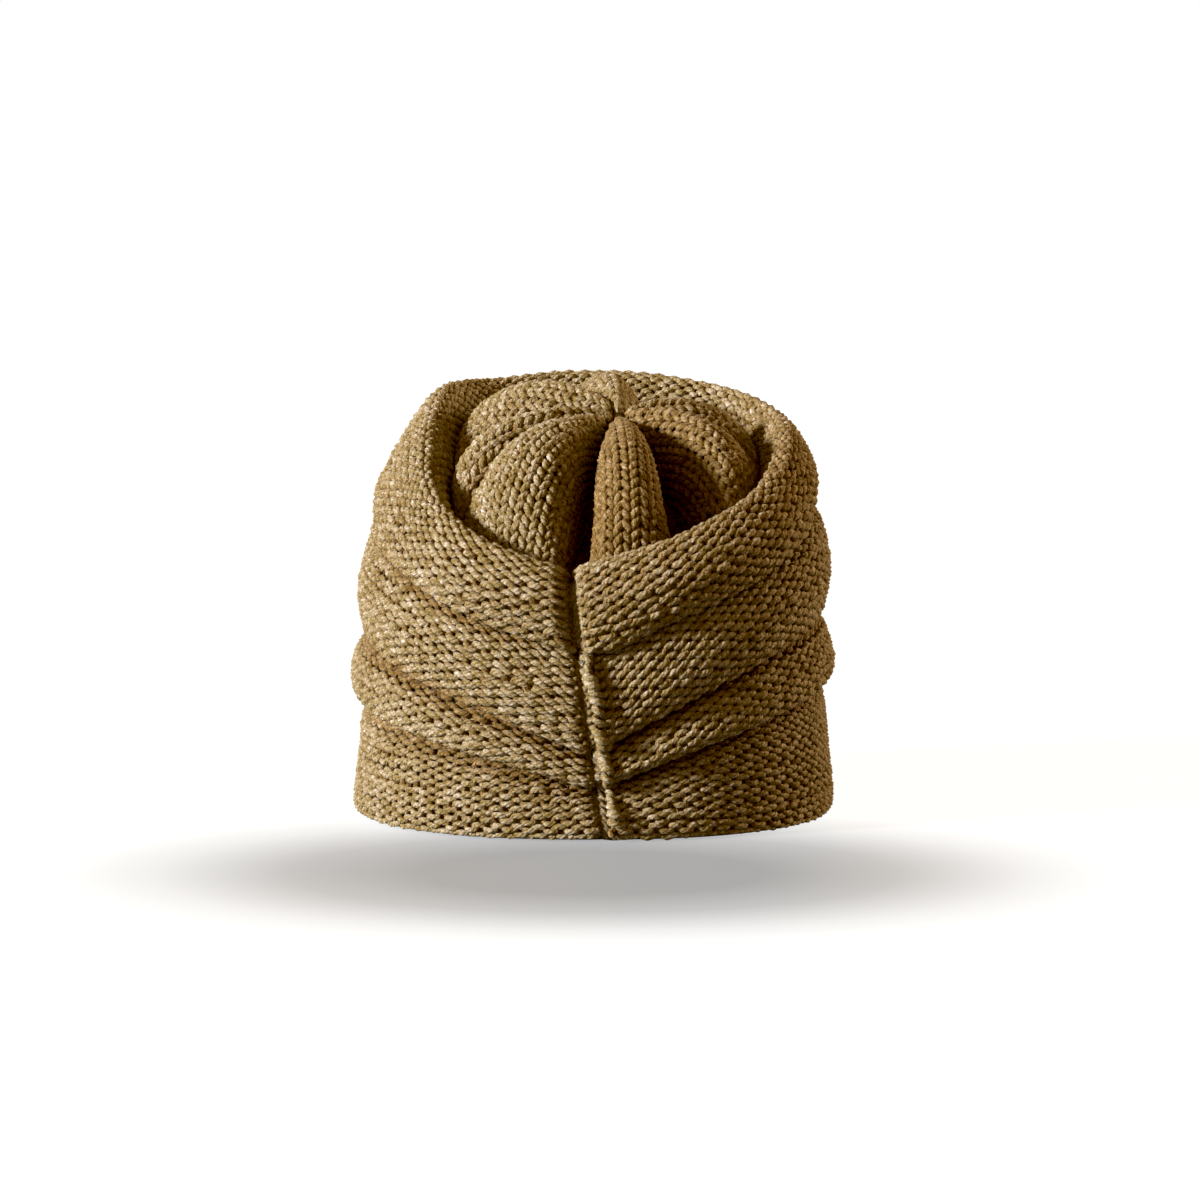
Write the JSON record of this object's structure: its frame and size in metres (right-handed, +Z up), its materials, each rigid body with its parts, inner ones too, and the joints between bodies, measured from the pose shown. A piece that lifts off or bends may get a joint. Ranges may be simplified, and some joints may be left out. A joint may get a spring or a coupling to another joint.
{
  "type": "slouch beanie",
  "caption": "Chunky-knit slouch beanie: a folded purl tube with a back seam, rolled rim and gathered lobed crown.",
  "frame": {"origin": "centre of the hem's box on the surface it rests on", "axes": "+Z up from the hem to the crown, -Y the back with the seam, +Y the wearer's front, +X the right seen from behind"},
  "size_m": [0.1881, 0.1983, 0.1662],
  "materials": {
    "purl_knit": "chunky heathered yarn, purl side out",
    "crown_knit": "chunky heathered yarn, stockinette"
  },
  "bodies": {
    "root": {"slouch_body": "purl_knit", "gathered_crown": "crown_knit"}
  },
  "joints": []
}
